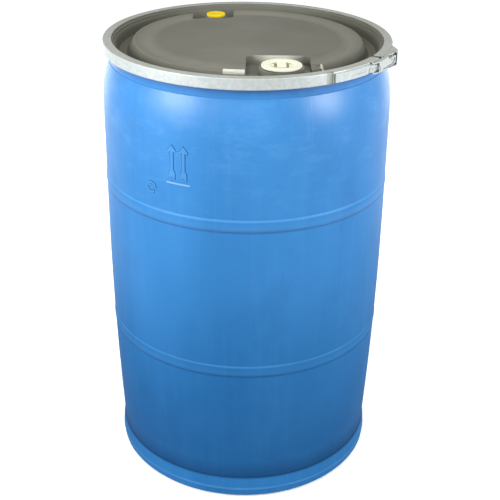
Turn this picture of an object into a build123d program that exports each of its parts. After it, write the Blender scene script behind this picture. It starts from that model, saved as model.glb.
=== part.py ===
"""Plastic open head drum with a screw-plug cover and an over-centre lever ring.

The origin is on the drum's axis at floor level, +Z is up and -Y is the front.
Millimetres and degrees throughout.
"""

from build123d import *
from math import asin, atan2, cos, degrees, hypot, radians, sin, sqrt
import os

os.makedirs("parts", exist_ok=True)

# ---------------------------------------------------------------- clearances
seat_gap = 0.3  # between pieces that lie on one another but come apart
side_gap = 0.4  # round the sides of what lifts off
thread_gap = 0.08  # screw plug in its boss
pin_gap = 0.05  # hinge pin or rivet in its hole
plate_gap = 0.05  # bracket plate on the band
cheek_gap = 0.5  # between the latch's moving cheeks, ears and flanges
cut_margin = 5.0  # how far a cutter runs past what it cuts

# ---------------------------------------------------------------- drum body
belly_r = 291.0  # widest outer radius
belly_z = 540.0
body_wall = 4.0
rim_top_z = 921.0  # top of the open mouth
shoulder_foot_inset = 1.5  # where the side runs into the shoulder, inward of the belly
shoulder_foot_drop = 106.0  # and below the mouth
shoulder_top_inset = 15.5
shoulder_top_drop = 32.0
neck_inset = 17.0
neck_drop = 30.5
rim_overhang = 4.6  # how far the rim bead stands out from the neck
rim_height = 9.5
rim_round = 1.5

foot_groove_inset = 13.0  # waist above the foot
foot_groove_z = 59.0
foot_groove_round = 6.0
foot_flare = 2.2  # how far the foot flares out below its waist
foot_flare_z = 45.0
foot_flare_round = 3.0
foot_ledge = 2.0  # from there to the widest line of the foot
foot_ledge_z = 22.0
foot_ledge_round = 1.0
foot_tuck = 1.6  # and in again under it
foot_under_z = 8.5
foot_under_round = 7.0
foot_edge_width = 7.1
foot_edge_round = 4.0
foot_flat_width = 11.5  # width of the flat the drum stands on
foot_flat_round = 2.0
panel_slope_width = 8.0
panel_round = 8.0
panel_z = 8.0  # raised middle of the base
base_wall = 5.0

bead_height = 26.0  # rolling beads
bead_rise = 1.1
bead_sink = 1.5  # how deep a bead is rooted in the wall
bead_centres_z = (326.0, 648.0)

# ---------------------------------------------------------------- cover
cover_wall = 4.5
gasket_t = 2.5
gasket_inset = 1.0  # gasket's outer edge, inward of the rim bead's
gasket_width = 6.1
flange_t = 5.7  # thickness of the flange over the gasket
skirt_t = 2.6
skirt_drop = 6.0  # how far the skirt hangs below the gasket seat
skirt_round = 2.0
spigot_gap = 1.7  # between the spigot and the mouth
spigot_taper = 8.3
band_inset = 11.2  # raised band inside the ring, inward of the rim bead
band_width = 3.0
band_drop = 2.7  # every drop is measured from the flange's top
band_step = 1.0
band_round = 0.8
band_foot_round = 0.6
groove_step = 0.8
groove_drop = 7.6
groove_round = 0.5
wall_lip = 1.6
wall_top_drop = 8.7
wall_top_round = 0.8
wall_lean = 7.5
channel_width = 15.5
channel_drop = 26.2
channel_round = 3.0
ridge_slope_width = 14.0
ridge_width = 23.0
ridge_drop = 1.7
ridge_round = 5.0
valley_slope_width = 23.0
valley_drop = 8.7
valley_round = 16.0
plateau_drop = 3.4
plateau_round = 30.0
hollow_crown_inset = 1.4  # shape of the hollow under the ridge
hollow_crown_drop = 0.6
hollow_crown_round = 2.0
hollow_foot_inset = 1.0
hollow_foot_round = 20.0
hollow_draft = 1.2

# 2 inch opening
main_x = 62.5
main_inset = 42.781  # from the ridge's outer foot to the opening's centre
main_thread_r = 29.8
main_flange_overhang = 7.7
main_flange_t = 3.8
main_edge_round = 1.2
main_body_length = 20.0
main_lead = 1.0
main_boss_margin = 4.5  # boss beyond the plug's flange
main_boss_drop = 6.5
main_skirt_t = 5.2
main_skirt_length = 20.0  # below the pocket's floor
main_gasket_inset = 2.0
main_gasket_t = 1.5
pocket_drop = 20.2
pocket_left = 65.5  # sides of the pocket from the opening's centre
pocket_right = 54.5
pocket_back = 63.0
pocket_round = 16.0
pocket_reach = 2.0  # how far the pockets cut past the ridge's foot
ridge_cut_before = 19.57  # ends of the ridge beside the pocket, in degrees from the opening
ridge_cut_after = 18.43
wrench_rim = 6.0  # rim round the recess for the bung wrench
wrench_depth = 12.0
wrench_bar = 17.0
wrench_bar_drop = 1.6
wrench_bar_reach = 12.0
wrench_lug = 10.0
wrench_round = 1.5
plug_floor = 3.0
plug_wall = 3.2

# 3/4 inch opening
vent_x = -68.5
vent_inset = 42.663
vent_thread_r = 13.2
vent_flange_overhang = 4.3
vent_flange_t = 5.0
vent_edge_round = 0.6
vent_body_length = 17.0
vent_lead = 0.8
vent_boss_margin = 5.5
vent_boss_drop = 9.7
vent_skirt_t = 4.3
vent_skirt_length = 14.0
vent_gasket_inset = 0.7
vent_gasket_t = 1.5
vent_pocket_left = 49.5
vent_pocket_right = 37.5
vent_pocket_back = 28.0
vent_hex_r = 8.5
vent_hex_depth = 9.0

cap_skirt_t = 1.8
cap_t = 1.1
cap_rim = 1.8
cap_rim_rise = 0.9
cap_round = 0.7
cap_grip = 1.8  # how far the cap's skirt reaches down the vent plug's flange

# ---------------------------------------------------------------- closing ring
ring_t = 1.5
ring_slack = 2.9  # between the cover's skirt and the band
ring_flange_width = 17.0
ring_lip_gap = 1.3  # between the lower lip and the neck
ring_grip_gap = 1.0  # between the lower lip and the rim bead
ring_round = 2.2
ring_edge_round = 0.5
ring_gap_from = -12.48  # the band's two ends, along the band from the latch's middle
ring_gap_to = 2.5
scoop_at = -149.75  # thumb scoop beside the lever's free end
scoop_r = 11.3
scoop_deep = 2.4
scoop_shallow = 1.2

# ---------------------------------------------------------------- latch
# Places of the latch are lengths along the band from its middle, and how far out from the band.
latch_bearing = -29.0
pin_r = 2.0
knuckle_r = 3.4
link_pin_stand = 4.5
link_pin_run = -43.43
lever_pin_stand = 5.2
lever_pin_run = -22.46
hook_pin_stand = 6.6
hook_pin_run = 39.93

link_height = 20.6
link_cheek_t = 1.5
link_web_t = 1.8
link_web_stand = 9.0
link_left_u = -34.0
link_right_u = 45.0
link_step_u = 9.0  # the link is lower right of here
link_low_height = 15.0
link_inner_stand = 2.6
seal_slot_u = 36.0
seal_slot_w = 2.2
seal_slot_h = 8.5
catch_slot_u = -30.4
catch_slot_w = 1.8
catch_slot_h = 9.0
slot_rise = 3.0  # foot of both slots above the link's foot

ear_t = 2.0
ear_pitch = 14.0  # between the middles of the two ears
ear_foot = 18.0
bracket_t = 1.5
bracket_margin = 1.0  # of the band's face above and below the lever's bracket
lever_bracket_from = -35.94
rivet_r = 1.6
rivet_head_r = 2.8
rivet_head_t = 0.8
lever_rivet_runs = (-29.95, -15.97)
hook_rivet_runs = (13.98, 26.95)
hook_rivet_drop = 3.0
pin_head_t = 0.5
pin_head_inset = 0.6

lever_stand = 4.0
lever_t = 1.8
lever_height = 16.6
lever_flange_gap = 0.6  # between the lever's flanges and the band
lever_from = -139.76
lever_to = -51.91
lever_edge_lean = 8.0  # how far the lever's right edge leans over its height
lever_slot_from = -101.83
lever_slot_to = -66.89
lever_slot_w = 2.2
lever_slot_deep = 0.8
lever_slot_drop = 1.0
tongue_inner = 1.5  # inner side of the tongue, inward of the pins' line
tongue_root_run = -65.89

hook_cheek_t = 2.0
hook_hang = 6.0  # how far the hooked bracket hangs below the band
hook_from = 6.99
hook_to = 83.86
hook_trim = 2.0
hook_corner_u = 50.0
hook_corner_stand = 12.0
hook_nose_u = 62.3
hook_nose_stand = 7.0
hook_skin = 2.0
hook_start_stand = 3.5
hook_low_start_u = 3.5
hook_high_start_u = 14.0
hook_slot_run = 1.9  # how far the slot widens to the right at its mouth

# ---------------------------------------------------------------- worked-out sizes
shoulder_foot_r = belly_r - shoulder_foot_inset
shoulder_foot_z = rim_top_z - shoulder_foot_drop
shoulder_top_r = belly_r - shoulder_top_inset
shoulder_top_z = rim_top_z - shoulder_top_drop
neck_r = belly_r - neck_inset
neck_z = rim_top_z - neck_drop
rim_r = neck_r + rim_overhang
foot_groove_r = belly_r - foot_groove_inset
foot_flare_r = foot_groove_r + foot_flare
foot_ledge_r = foot_flare_r + foot_ledge
foot_under_r = foot_ledge_r - foot_tuck
foot_flat_r = foot_under_r - foot_edge_width
foot_inner_r = foot_flat_r - foot_flat_width
panel_r = foot_inner_r - panel_slope_width
lower_curve_r = ((belly_z - foot_groove_z) ** 2 / (belly_r - foot_groove_r)) / 2
upper_curve_r = ((shoulder_foot_z - belly_z) ** 2 / (belly_r - shoulder_foot_r)) / 2

gasket_seat_z = rim_top_z + gasket_t
flange_top_z = gasket_seat_z + flange_t
gasket_outer_r = rim_r - gasket_inset
gasket_inner_r = gasket_outer_r - gasket_width
skirt_inner_r = rim_r + side_gap
skirt_r = skirt_inner_r + skirt_t
spigot_top_r = neck_r - body_wall - spigot_gap
spigot_foot_r = spigot_top_r - spigot_taper
band_out_r = rim_r - band_inset
band_r = band_out_r - band_width
band_z = flange_top_z - band_drop
groove_r = band_r - groove_step
groove_z = flange_top_z - groove_drop
wall_top_r = groove_r - wall_lip
wall_top_z = flange_top_z - wall_top_drop
channel_r = wall_top_r - wall_lean
channel_z = flange_top_z - channel_drop
ridge_foot_r = channel_r - channel_width
ridge_r = ridge_foot_r - ridge_slope_width
ridge_z = flange_top_z - ridge_drop
valley_r = ridge_r - ridge_width
valley_z = flange_top_z - valley_drop
plateau_r = valley_r - valley_slope_width
plateau_z = flange_top_z - plateau_drop
pocket_floor_z = flange_top_z - pocket_drop

main_centre_r = ridge_foot_r - main_inset
main_y = -sqrt(main_centre_r**2 - main_x**2)
main_bearing = degrees(atan2(main_y, main_x))
main_flange_r = main_thread_r + main_flange_overhang
main_boss_r = main_flange_r + main_boss_margin
main_boss_z = flange_top_z - main_boss_drop
main_skirt_r = main_thread_r + main_skirt_t
main_skirt_z = pocket_floor_z - main_skirt_length
main_gasket_r = main_flange_r - main_gasket_inset
main_flange_z = main_boss_z + main_gasket_t
main_top_z = main_flange_z + main_flange_t
wrench_r = main_thread_r - wrench_rim

vent_centre_r = ridge_foot_r - vent_inset
vent_y = sqrt(vent_centre_r**2 - vent_x**2)
vent_flange_r = vent_thread_r + vent_flange_overhang
vent_boss_r = vent_flange_r + vent_boss_margin
vent_boss_z = flange_top_z - vent_boss_drop
vent_skirt_r = vent_thread_r + vent_skirt_t
vent_skirt_z = pocket_floor_z - vent_skirt_length
vent_gasket_r = vent_flange_r - vent_gasket_inset
vent_flange_z = vent_boss_z + vent_gasket_t
vent_top_z = vent_flange_z + vent_flange_t
cap_r = vent_flange_r + side_gap + cap_skirt_t

ring_r = skirt_r + ring_slack + ring_t
ring_flange_r = ring_r - ring_flange_width
ring_lip_r = neck_r + ring_lip_gap
ring_top_z = flange_top_z + seat_gap + ring_t
ring_foot_z = rim_top_z - rim_height - ring_grip_gap - ring_t
ring_height = ring_top_z - ring_foot_z
ring_mid_z = (ring_top_z + ring_foot_z) / 2
lever_r = ring_r + lever_stand
lever_flange_r = ring_r + lever_flange_gap
link_web_n = ring_r + link_web_stand
link_inner_r = ring_r + link_inner_stand
hook_foot_z = ring_foot_z - hook_hang
hook_start_n = ring_r + hook_start_stand
hook_corner_n = ring_r + hook_corner_stand
hook_nose_n = ring_r + hook_nose_stand


def along(run):
    """Bearing of the place that lies run along the band from the latch's middle."""
    return latch_bearing + degrees(run / ring_r)


def side_r(z):
    """Outer radius of the drum's side at height z, between the foot and the shoulder."""
    curve_r = lower_curve_r if z < belly_z else upper_curve_r
    return belly_r - curve_r + sqrt(curve_r**2 - (z - belly_z) ** 2)


def export(part, label, path):
    part.label = label
    export_step(part, path)


# ================================================================ drum body
def body_section(inset, lift, mouth_z):
    """Half section of the drum out to its skin, drawn inset from the side and lifted off the base."""
    shift = inset / 2
    lean = asin((shoulder_foot_z - belly_z) / upper_curve_r)
    with BuildSketch(Plane.XZ) as section:
        with BuildLine():
            FilletPolyline(
                (foot_groove_r - inset, foot_groove_z + foot_groove_round),
                (foot_groove_r - inset, foot_groove_z - foot_groove_round / 2),
                (foot_flare_r - inset, foot_flare_z),
                (foot_ledge_r - inset, foot_ledge_z),
                (foot_under_r - inset, foot_under_z + lift / 2),
                (foot_flat_r - inset, lift),
                (foot_inner_r + shift, lift),
                (panel_r + shift, panel_z + lift),
                (0, panel_z + lift),
                radius=[
                    foot_groove_round,
                    foot_flare_round,
                    foot_ledge_round,
                    foot_under_round,
                    foot_edge_round,
                    foot_flat_round,
                    panel_round,
                ],
            )
            Polyline((0, panel_z + lift), (0, mouth_z), (neck_r - inset, mouth_z), (neck_r - inset, neck_z))
            Line((neck_r - inset, neck_z), (shoulder_top_r - inset, shoulder_top_z))
            TangentArc(
                (shoulder_foot_r - inset, shoulder_foot_z),
                (shoulder_top_r - inset, shoulder_top_z),
                tangent=(-sin(lean), cos(lean)),
            )
            ThreePointArc(
                (belly_r - inset, belly_z),
                (side_r((belly_z + shoulder_foot_z) / 2) - inset, (belly_z + shoulder_foot_z) / 2),
                (shoulder_foot_r - inset, shoulder_foot_z),
            )
            low_z = foot_groove_z + foot_groove_round
            ThreePointArc(
                (foot_groove_r - inset, low_z),
                (side_r((belly_z + low_z) / 2) - inset, (belly_z + low_z) / 2),
                (belly_r - inset, belly_z),
            )
        make_face()
    return section.sketch


with BuildPart() as drum_body:
    add(body_section(0, 0, rim_top_z))
    revolve(axis=Axis.Z)
    with BuildSketch(Plane.XZ) as rim_bead:
        with Locations(((neck_r - body_wall + rim_r) / 2, rim_top_z - rim_height / 2)):
            Rectangle(rim_r - neck_r + body_wall, rim_height)
        fillet(rim_bead.vertices().group_by(Axis.X)[-1], rim_round)
    revolve(axis=Axis.Z)
    for bead_z in bead_centres_z:
        with BuildSketch(Plane.XZ) as bead:
            with BuildLine():
                low = (side_r(bead_z - bead_height / 2), bead_z - bead_height / 2)
                high = (side_r(bead_z + bead_height / 2), bead_z + bead_height / 2)
                ThreePointArc(low, (side_r(bead_z) + bead_rise, bead_z), high)
                Polyline(high, (high[0] - bead_sink, high[1]), (low[0] - bead_sink, low[1]), low)
            make_face()
        revolve(axis=Axis.Z)
    add(body_section(body_wall, base_wall, rim_top_z + cut_margin).faces())
    revolve(axis=Axis.Z, mode=Mode.SUBTRACT)


# ================================================================ cover
def slope_offset(start, end, gap):
    """Step from a sloping line down to the line that runs under it, gap away."""
    length = hypot(end[0] - start[0], end[1] - start[1])
    return gap * (end[1] - start[1]) / length, -gap * (end[0] - start[0]) / length


ridge_slip = slope_offset((ridge_r, ridge_z), (ridge_foot_r, channel_z), cover_wall)


def strip(inner_r, outer_r, from_bearing, to_bearing):
    """Flat curved strip between two radii and two bearings."""
    sweep_angle = to_bearing - from_bearing
    start = Vector(1, 0).rotate(Axis.Z, from_bearing)
    end = Vector(1, 0).rotate(Axis.Z, to_bearing)
    with BuildSketch() as flat:
        with BuildLine():
            CenterArc((0, 0), outer_r, from_bearing, sweep_angle)
            Line(end * outer_r, end * inner_r)
            CenterArc((0, 0), inner_r, from_bearing, sweep_angle)
            Line(start * inner_r, start * outer_r)
        make_face()
    return flat.sketch


def bung_pocket(left, right, back, front, grow, reach):
    """Plan of a bung pocket, grown by grow and stopped at the radius reach."""
    with BuildSketch() as plan:
        with Locations(((left + right) / 2, (back + front) / 2)):
            Rectangle(right - left + 2 * grow, abs(front - back) + 2 * grow)
        fillet(plan.vertices(), pocket_round + grow)
        Circle(reach, mode=Mode.INTERSECT)
    return plan.sketch


def bung_pockets(grow, reach):
    """Both pockets, the 2 inch one in front and the 3/4 inch one behind."""
    run_out = ridge_foot_r + pocket_round
    front = bung_pocket(main_x - pocket_left, main_x + pocket_right, main_y + pocket_back, -run_out, grow, reach)
    left, right = vent_x - vent_pocket_left, vent_x + vent_pocket_right
    rear = bung_pocket(left, right, vent_y - vent_pocket_back, run_out, grow, reach)
    return front.faces() + rear.faces()


# What the cover is hollow by, underneath.
with BuildPart() as cover_hollow:
    with BuildSketch(Plane.XZ):
        with BuildLine():
            inner_foot_r = ridge_foot_r + ridge_slip[0] + hollow_foot_inset
            low_z = channel_z - cover_wall - cut_margin
            FilletPolyline(
                (0, plateau_z - cover_wall),
                (plateau_r, plateau_z - cover_wall),
                (valley_r, valley_z - cover_wall),
                (ridge_r - hollow_crown_inset, ridge_z - cover_wall - hollow_crown_drop),
                (inner_foot_r, channel_z + ridge_slip[1]),
                (inner_foot_r + hollow_draft, low_z),
                radius=[plateau_round - cover_wall, valley_round + cover_wall, hollow_crown_round, hollow_foot_round],
            )
            Polyline((inner_foot_r + hollow_draft, low_z), (0, low_z), (0, plateau_z - cover_wall))
        make_face()
    revolve(axis=Axis.Z)
    edge = degrees(cover_wall / ridge_r)
    ridge_from = main_bearing - ridge_cut_before
    ridge_to = main_bearing + ridge_cut_after
    with BuildSketch(Plane.XY.offset(valley_z - cover_wall)):
        add(strip(valley_r, ridge_foot_r + cut_margin, ridge_from - edge, ridge_to + edge))
    extrude(amount=cut_margin + ridge_z - valley_z, mode=Mode.SUBTRACT)
    with BuildSketch(Plane.XY.offset(pocket_floor_z - cover_wall)):
        add(bung_pockets(cover_wall, ridge_foot_r + pocket_round))
    extrude(amount=plateau_z - pocket_floor_z + cover_wall, mode=Mode.SUBTRACT)

with BuildPart() as cover:
    with BuildSketch(Plane.XZ):
        with BuildLine():
            FilletPolyline(
                (0, plateau_z),
                (plateau_r, plateau_z),
                (valley_r, valley_z),
                (ridge_r, ridge_z),
                (ridge_foot_r, channel_z),
                (channel_r, channel_z),
                (wall_top_r, wall_top_z),
                (groove_r, groove_z),
                (band_r, band_z),
                (band_out_r, band_z),
                (band_out_r + band_step, flange_top_z),
                (skirt_r, flange_top_z),
                (skirt_r, gasket_seat_z - skirt_drop),
                radius=[
                    plateau_round,
                    valley_round,
                    ridge_round,
                    channel_round,
                    channel_round,
                    wall_top_round,
                    groove_round,
                    band_round,
                    band_foot_round,
                    band_foot_round,
                    skirt_round,
                ],
            )
            Polyline(
                (skirt_r, gasket_seat_z - skirt_drop),
                (skirt_inner_r, gasket_seat_z - skirt_drop),
                (skirt_inner_r, gasket_seat_z),
                (spigot_top_r, gasket_seat_z),
                (spigot_foot_r, channel_z - cover_wall),
                (0, channel_z - cover_wall),
                (0, plateau_z),
            )
        make_face()
    revolve(axis=Axis.Z)
    add(cover_hollow.part, mode=Mode.SUBTRACT)
    # The ridge stops each side of the main pocket, down to the valley's level.
    with BuildSketch(Plane.XY.offset(valley_z)):
        add(strip(valley_r, ridge_foot_r + cut_margin, ridge_from, ridge_to))
    extrude(amount=ridge_z - valley_z + cut_margin, mode=Mode.SUBTRACT)
    with BuildSketch(Plane.XY.offset(pocket_floor_z)):
        add(bung_pockets(0, ridge_foot_r + pocket_reach))
    extrude(amount=ridge_z - pocket_floor_z + cut_margin, mode=Mode.SUBTRACT)
    # A threaded boss stands in each pocket, with its skirt below the floor.
    root_z = pocket_floor_z - cover_wall / 2
    for place, collar_r, collar_z, skirt_out_r, skirt_foot_z, bore_r in (
        ((main_x, main_y), main_boss_r, main_boss_z, main_skirt_r, main_skirt_z, main_thread_r),
        ((vent_x, vent_y), vent_boss_r, vent_boss_z, vent_skirt_r, vent_skirt_z, vent_thread_r),
    ):
        with BuildSketch(Plane.XY.offset(root_z)):
            with Locations(place):
                Circle(collar_r)
        extrude(amount=collar_z - root_z)
        with BuildSketch(Plane.XY.offset(skirt_foot_z)):
            with Locations(place):
                Circle(skirt_out_r)
        extrude(amount=root_z - skirt_foot_z)
        with BuildSketch(Plane.XY.offset(skirt_foot_z - cut_margin)):
            with Locations(place):
                Circle(bore_r + thread_gap)
        extrude(amount=collar_z - skirt_foot_z + 2 * cut_margin, mode=Mode.SUBTRACT)

with BuildPart() as cover_gasket:
    with BuildSketch(Plane.XY.offset(rim_top_z)):
        Circle(gasket_outer_r)
        Circle(gasket_inner_r, mode=Mode.SUBTRACT)
    extrude(amount=gasket_t)


# ================================================================ plugs
with BuildPart() as main_plug:
    with BuildSketch(Plane.XY.offset(main_flange_z)):
        with Locations((main_x, main_y)):
            Circle(main_flange_r)
    extrude(amount=main_flange_t)
    fillet(main_plug.edges().group_by(Axis.Z)[-1], main_edge_round)
    with BuildSketch(Plane.XY.offset(main_flange_z - main_body_length)):
        with Locations((main_x, main_y)):
            Circle(main_thread_r)
    extrude(amount=main_body_length)
    chamfer(main_plug.edges().group_by(Axis.Z)[0], main_lead)
    # The wrench recess, with a bar from its rear and a lug at each side.
    with BuildSketch(Plane.XY.offset(main_top_z)):
        with Locations((main_x, main_y)):
            Circle(wrench_r)
    extrude(amount=-wrench_bar_drop, mode=Mode.SUBTRACT)
    with BuildSketch(Plane.XY.offset(main_top_z - wrench_bar_drop)) as recess:
        with Locations((main_x, main_y)):
            Circle(wrench_r)
            with Locations((0, (wrench_r - wrench_bar_reach) / 2)):
                Rectangle(wrench_bar, wrench_r + wrench_bar_reach, mode=Mode.SUBTRACT)
            with Locations((-wrench_r, 0), (wrench_r, 0)):
                Rectangle(2 * wrench_lug, wrench_lug, mode=Mode.SUBTRACT)
        fillet(recess.vertices(), wrench_round)
    extrude(amount=wrench_bar_drop - wrench_depth, mode=Mode.SUBTRACT)
    hollow_z = main_top_z - wrench_depth - plug_floor
    with BuildSketch(Plane.XY.offset(main_flange_z - main_body_length)):
        with Locations((main_x, main_y)):
            Circle(main_thread_r - plug_wall)
    extrude(amount=hollow_z - main_flange_z + main_body_length, mode=Mode.SUBTRACT)

with BuildPart() as main_plug_gasket:
    with BuildSketch(Plane.XY.offset(main_boss_z)):
        with Locations((main_x, main_y)):
            Circle(main_gasket_r)
            Circle(main_thread_r + seat_gap, mode=Mode.SUBTRACT)
    extrude(amount=main_gasket_t)

with BuildPart() as vent_plug:
    with BuildSketch(Plane.XY.offset(vent_flange_z)):
        with Locations((vent_x, vent_y)):
            Circle(vent_flange_r)
    extrude(amount=vent_flange_t)
    fillet(vent_plug.edges().group_by(Axis.Z)[-1], vent_edge_round)
    with BuildSketch(Plane.XY.offset(vent_flange_z - vent_body_length)):
        with Locations((vent_x, vent_y)):
            Circle(vent_thread_r)
    extrude(amount=vent_body_length)
    chamfer(vent_plug.edges().group_by(Axis.Z)[0], vent_lead)
    with BuildSketch(Plane.XY.offset(vent_top_z)):
        with Locations((vent_x, vent_y)):
            RegularPolygon(vent_hex_r, 6)
    extrude(amount=-vent_hex_depth, mode=Mode.SUBTRACT)
    with BuildSketch(Plane.XY.offset(vent_flange_z - vent_body_length)):
        with Locations((vent_x, vent_y)):
            Circle(vent_thread_r - plug_wall)
    extrude(
        amount=vent_top_z - vent_hex_depth - plug_floor - vent_flange_z + vent_body_length,
        mode=Mode.SUBTRACT,
    )

with BuildPart() as vent_plug_gasket:
    with BuildSketch(Plane.XY.offset(vent_boss_z)):
        with Locations((vent_x, vent_y)):
            Circle(vent_gasket_r)
            Circle(vent_thread_r + seat_gap, mode=Mode.SUBTRACT)
    extrude(amount=vent_gasket_t)

with BuildPart() as cap_seal:
    cap_floor_z = vent_top_z + seat_gap
    with BuildSketch(Plane.XY.offset(vent_top_z - cap_grip)):
        with Locations((vent_x, vent_y)):
            Circle(cap_r)
    extrude(amount=cap_grip + seat_gap + cap_t + cap_rim_rise)
    fillet(cap_seal.edges().group_by(Axis.Z)[-1], cap_round)
    with BuildSketch(Plane.XY.offset(cap_floor_z + cap_t)):
        with Locations((vent_x, vent_y)):
            Circle(cap_r - cap_rim)
    extrude(amount=cap_rim_rise + cut_margin, mode=Mode.SUBTRACT)
    with BuildSketch(Plane.XY.offset(vent_top_z - cap_grip)):
        with Locations((vent_x, vent_y)):
            Circle(vent_flange_r + side_gap)
    extrude(amount=cap_grip + seat_gap, mode=Mode.SUBTRACT)


# ================================================================ closing ring
def bearing_plane(bearing, r, z):
    """Plane that faces outward from the axis: its x runs round the drum and its y runs up."""
    a = radians(bearing)
    return Plane(origin=(r * cos(a), r * sin(a), z), x_dir=(-sin(a), cos(a), 0), z_dir=(cos(a), sin(a), 0))


def scoop_plane():
    """Plane across the thumb scoop's leaning axis."""
    a = radians(along(scoop_at))
    lean = scoop_deep - scoop_shallow
    axis_r = ring_r + scoop_r - (scoop_deep + scoop_shallow) / 2
    return Plane(
        origin=(axis_r * cos(a), axis_r * sin(a), ring_mid_z),
        x_dir=(-sin(a), cos(a), 0),
        z_dir=(-lean * cos(a), -lean * sin(a), ring_height),
    )


rivet_places = {
    "lever_bracket": [(bearing, ring_mid_z) for bearing in map(along, lever_rivet_runs)],
    "link_bracket": [(bearing, ring_mid_z - hook_rivet_drop) for bearing in map(along, hook_rivet_runs)],
}

with BuildPart() as scoop_back:
    with BuildSketch(scoop_plane()):
        Circle(scoop_r + ring_t)
    extrude(amount=ring_height, both=True)
    with BuildSketch(Plane.XY.offset(ring_foot_z)):
        Circle(ring_r - ring_t / 2)
        Circle(ring_r - scoop_deep - 2 * ring_t, mode=Mode.SUBTRACT)
    extrude(amount=ring_height, mode=Mode.INTERSECT)

with BuildPart() as ring_band:
    a = radians(along(ring_gap_to))
    with BuildSketch(Plane(origin=(0, 0, 0), x_dir=(cos(a), sin(a), 0), z_dir=(sin(a), -cos(a), 0))):
        with BuildLine():
            FilletPolyline(
                (ring_flange_r, ring_top_z),
                (ring_r, ring_top_z),
                (ring_r, ring_foot_z),
                (ring_lip_r, ring_foot_z),
                (ring_lip_r, ring_foot_z + ring_t),
                (ring_r - ring_t, ring_foot_z + ring_t),
                (ring_r - ring_t, ring_top_z - ring_t),
                (ring_flange_r, ring_top_z - ring_t),
                radius=[
                    ring_edge_round,
                    ring_round,
                    ring_round,
                    ring_edge_round,
                    ring_edge_round,
                    ring_round - ring_t,
                    ring_round - ring_t,
                    ring_edge_round,
                ],
                close=True,
            )
        make_face()
    revolve(axis=Axis.Z, revolution_arc=360 - along(ring_gap_to) + along(ring_gap_from))
    add(scoop_back.part)
    with BuildSketch(scoop_plane()):
        Circle(scoop_r)
    extrude(amount=ring_height, both=True, mode=Mode.SUBTRACT)
    for bearing, z in rivet_places["lever_bracket"] + rivet_places["link_bracket"]:
        with BuildSketch(bearing_plane(bearing, ring_r, z)):
            Circle(rivet_r + pin_gap)
        extrude(amount=cut_margin, both=True, mode=Mode.SUBTRACT)


# ================================================================ latch
def latch_plane(z):
    """Level plane of the latch: its x runs outward and its y round the drum, both from the axis."""
    a = radians(latch_bearing)
    return Plane(origin=(0, 0, z), x_dir=(cos(a), sin(a), 0), z_dir=(0, 0, 1))


def latch_point(r, run):
    """Place on a latch plane of a point at radius r that lies run along the band."""
    a = run / ring_r
    return r * cos(a), r * sin(a)


link_pin_at = latch_point(ring_r + link_pin_stand, link_pin_run)
lever_pin_at = latch_point(ring_r + lever_pin_stand, lever_pin_run)
hook_pin_at = latch_point(ring_r + hook_pin_stand, hook_pin_run)
arm = (lever_pin_at[0] - link_pin_at[0], lever_pin_at[1] - link_pin_at[1])
arm_length = hypot(arm[0], arm[1])
arm_angle = degrees(atan2(arm[1], arm[0]))

plate_r = ring_r + plate_gap
plate_out_r = plate_r + bracket_t
link_foot_z = ring_mid_z - link_height / 2
link_top_z = ring_mid_z + link_height / 2
link_low_top_z = link_foot_z + link_low_height
lever_foot_z = ring_mid_z - lever_height / 2
hook_top_z = ring_top_z - seat_gap

# Bracket with two ears, on the band's left end.
with BuildPart() as lever_bracket:
    with BuildSketch(Plane.XY.offset(ring_foot_z + bracket_margin)):
        add(strip(plate_r, plate_out_r, along(lever_bracket_from), along(ring_gap_from)))
    extrude(amount=ring_height - 2 * bracket_margin)
    for side in (-1, 1):
        with BuildSketch(latch_plane(ring_mid_z + side * ear_pitch / 2 - ear_t / 2)):
            with Locations(lever_pin_at):
                Circle(knuckle_r)
            with Locations((ring_r - knuckle_r / 2, lever_pin_at[1])):
                Rectangle(knuckle_r, ear_foot)
            make_hull()
            Circle(plate_r, mode=Mode.SUBTRACT)
            with Locations(lever_pin_at):
                Circle(pin_r + pin_gap, mode=Mode.SUBTRACT)
        extrude(amount=ear_t)
    for bearing, z in rivet_places["lever_bracket"]:
        with BuildSketch(bearing_plane(bearing, ring_r, z)):
            Circle(rivet_r + pin_gap)
        extrude(amount=cut_margin, both=True, mode=Mode.SUBTRACT)

# Hooked bracket on the band's right end. The hook pin drops into its two notches.
hook_root_r = plate_r + bracket_t / 2
hook_end = latch_point(hook_root_r, hook_to - hook_trim)
hook_slope = (hook_corner_n - hook_start_n) / (hook_corner_u - hook_low_start_u)


def hook_cheek(start_u):
    """Plan of a cheek of the hooked bracket that starts at start_u."""
    start_n = hook_start_n + hook_slope * (start_u - hook_low_start_u)
    notch_r = pin_r + cheek_gap
    mouth_n = hook_corner_n + cut_margin
    with BuildSketch() as plan:
        with BuildLine():
            Polyline(
                (hook_end[0] - cut_margin, start_u),
                (start_n, start_u),
                (hook_corner_n, hook_corner_u),
                (hook_nose_n, hook_nose_u),
                hook_end,
                (hook_end[0] - cut_margin, hook_end[1]),
                close=True,
            )
        make_face()
        Circle(hook_root_r, mode=Mode.SUBTRACT)
        with BuildLine():
            Polyline(
                (hook_pin_at[0], hook_pin_at[1] - notch_r),
                (mouth_n, hook_pin_at[1] - notch_r),
                (mouth_n, hook_pin_at[1] + notch_r + hook_slot_run),
                (hook_pin_at[0], hook_pin_at[1] + notch_r),
                close=True,
            )
        make_face(mode=Mode.SUBTRACT)
        with Locations(hook_pin_at):
            Circle(notch_r, mode=Mode.SUBTRACT)
    return plan.sketch


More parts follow.
